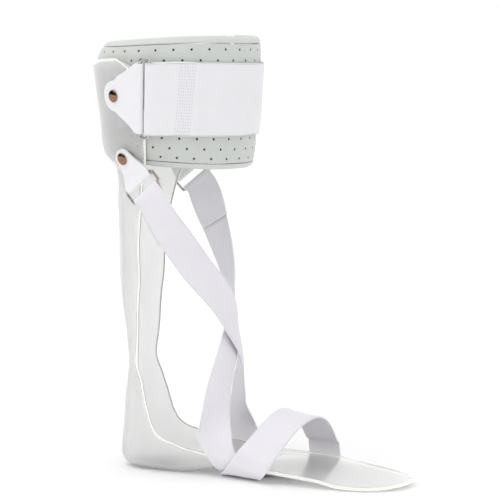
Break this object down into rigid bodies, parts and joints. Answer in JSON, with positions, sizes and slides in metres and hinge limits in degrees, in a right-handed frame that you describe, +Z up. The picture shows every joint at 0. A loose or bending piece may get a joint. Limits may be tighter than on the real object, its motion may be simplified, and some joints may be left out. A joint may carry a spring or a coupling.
{
  "type": "ankle foot orthosis",
  "caption": "Standing ankle foot orthosis: a translucent plastic leg strut and foot plate with a padded calf cuff, a wide calf strap and a crossed elastic instep strap.",
  "frame": {"origin": "on the floor, in the middle of the flat underside of the heel", "axes": "+X forward to the toes, +Y to the outer side of a left leg, +Z up the leg"},
  "size_m": [0.273, 0.1526, 0.3605],
  "materials": {
    "milky_plastic": "translucent milky polypropylene, satin",
    "sage_padding": "perforated foam-backed knit, pale sage grey",
    "sage_binding": "stretch binding, pale sage grey",
    "white_strap": "brushed loop strap, white",
    "white_elastic": "woven elastic with raised selvedges, white",
    "white_vinyl": "coated soft sheet, satin white",
    "white_hook": "hook tape, white",
    "ring_steel": "plated wire, bright",
    "rivet_bronze": "dark bronze plating, polished"
  },
  "bodies": {
    "root": {"calf_ring_lateral": "ring_steel", "calf_ring_medial": "ring_steel", "calf_rivet_lateral": "rivet_bronze", "calf_rivet_medial": "rivet_bronze", "calf_strap": "white_strap", "calf_tab_lateral": "white_vinyl", "calf_tab_medial": "white_vinyl", "cuff_binding_bottom": "sage_binding", "cuff_binding_top": "sage_binding", "cuff_pad": "sage_padding", "hook_disc_lateral": "white_hook", "hook_disc_medial": "white_hook", "instep_ring_lateral": "ring_steel", "instep_ring_medial": "ring_steel", "instep_rivet_lateral": "rivet_bronze", "instep_rivet_medial": "rivet_bronze", "instep_strap": "white_elastic", "instep_tab_lateral": "white_vinyl", "instep_tab_medial": "white_vinyl", "shell": "milky_plastic"}
  },
  "joints": []
}
